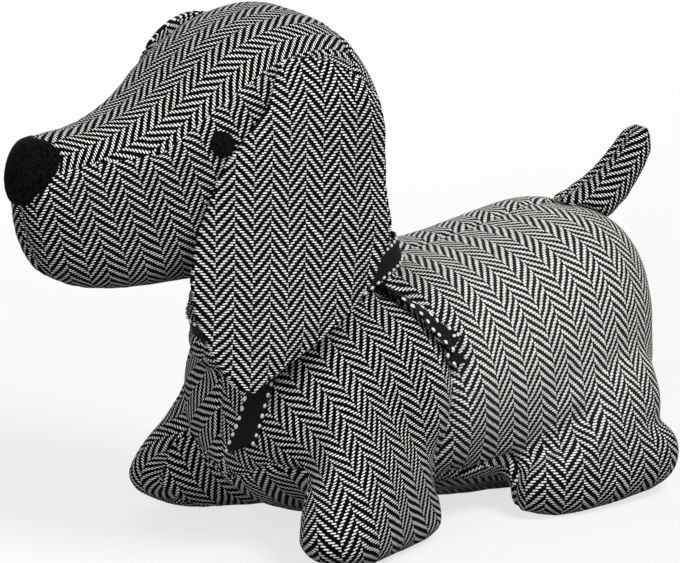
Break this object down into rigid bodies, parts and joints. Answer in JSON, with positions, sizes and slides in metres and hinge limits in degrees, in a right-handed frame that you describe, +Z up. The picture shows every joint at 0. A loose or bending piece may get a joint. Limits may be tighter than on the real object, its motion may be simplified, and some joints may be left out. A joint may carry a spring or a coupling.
{
  "type": "weighted fabric door stop",
  "caption": "Weighted fabric door stop shaped as a long-bodied, long-eared dog in herringbone tweed, with a felt nose, felt eyes and a ribbon tied round the neck",
  "frame": {"origin": "on the floor, at the middle of the flat patch that the heavy belly rests on", "axes": "+Z up; the dog looks along -X, so its length is along X, and its left side is towards -Y"},
  "size_m": [0.3742, 0.1626, 0.2525],
  "materials": {
    "tweed": "black and white wool-blend herringbone twill, matt",
    "felt": "black felt, matt",
    "ribbon": "black grosgrain with white saddle stitching along both edges"
  },
  "bodies": {
    "root": {"body": "tweed", "head": "tweed", "tail": "tweed", "ear_left": "tweed", "ear_right": "tweed", "nose": "felt", "eye_left": "felt", "eye_right": "felt", "ribbon": "ribbon"}
  },
  "joints": []
}
